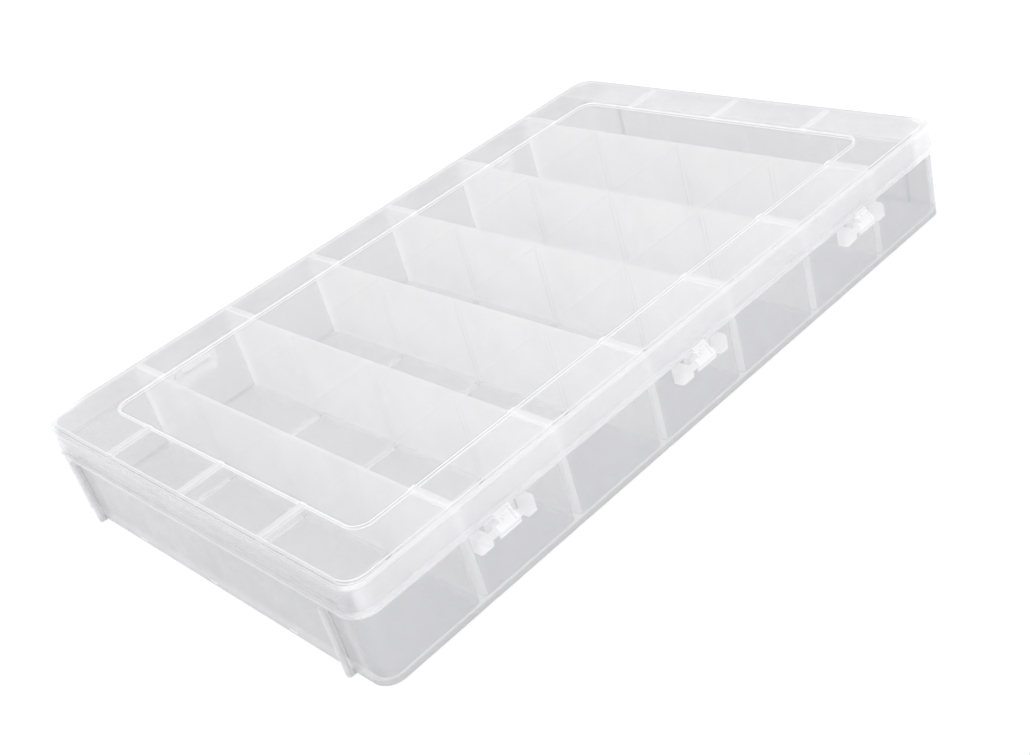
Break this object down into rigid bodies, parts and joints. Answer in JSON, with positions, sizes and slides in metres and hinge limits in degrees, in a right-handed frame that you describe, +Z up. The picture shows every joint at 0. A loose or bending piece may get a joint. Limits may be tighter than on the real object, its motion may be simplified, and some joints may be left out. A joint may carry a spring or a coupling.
{
  "type": "compartment storage box",
  "caption": "Flat rectangular storage box with cross walls and lift-out dividers, a clear hinged lid with a sunken panel, and swing latches, for sorting small parts or craft supplies",
  "frame": {"origin": "centre of the underside, where the box rests on a table", "axes": "+X along the long side, +Y towards the hinges, -Y towards the latches, +Z up"},
  "size_m": [0.3526, 0.2304, 0.0451],
  "materials": {
    "clear_tray": "clear moulded polypropylene, slightly milky, with finely frosted cross walls",
    "clear_lid": "clear moulded polypropylene, glossy, slightly wavy",
    "milky_latch": "milky moulded polypropylene",
    "clear_divider": "clear thin moulded polypropylene"
  },
  "bodies": {
    "tray": {"base": "clear_tray", "divider_lane1_front": "clear_divider", "divider_lane1_middle": "clear_divider", "divider_lane1_rear": "clear_divider", "divider_lane2_front": "clear_divider", "divider_lane2_middle": "clear_divider", "divider_lane2_rear": "clear_divider", "divider_lane3_front": "clear_divider", "divider_lane3_middle": "clear_divider", "divider_lane3_rear": "clear_divider", "divider_lane4_front": "clear_divider", "divider_lane4_middle": "clear_divider", "divider_lane4_rear": "clear_divider", "divider_lane5_front": "clear_divider", "divider_lane5_middle": "clear_divider", "divider_lane5_rear": "clear_divider", "divider_lane6_front": "clear_divider", "divider_lane6_middle": "clear_divider", "divider_lane6_rear": "clear_divider", "divider_lane7_front": "clear_divider", "divider_lane7_middle": "clear_divider", "divider_lane7_rear": "clear_divider"},
    "lid": {"lid": "clear_lid"},
    "latch_right": {"latch_right": "milky_latch"},
    "latch_left": {"latch_left": "milky_latch"}
  },
  "joints": [
    {"name": "lid_hinge", "type": "hinge", "parent": "tray", "child": "lid", "pos_m": [0, 0.1119, 0.028], "axis": [-1, 0, 0], "range_deg": [0, 180]},
    {"name": "latch_right_hinge", "type": "hinge", "parent": "lid", "child": "latch_right", "pos_m": [0.1002, -0.112, 0.0392], "axis": [-1, 0, 0], "range_deg": [0, 110]},
    {"name": "latch_left_hinge", "type": "hinge", "parent": "lid", "child": "latch_left", "pos_m": [-0.1002, -0.112, 0.0392], "axis": [-1, 0, 0], "range_deg": [0, 110]}
  ]
}
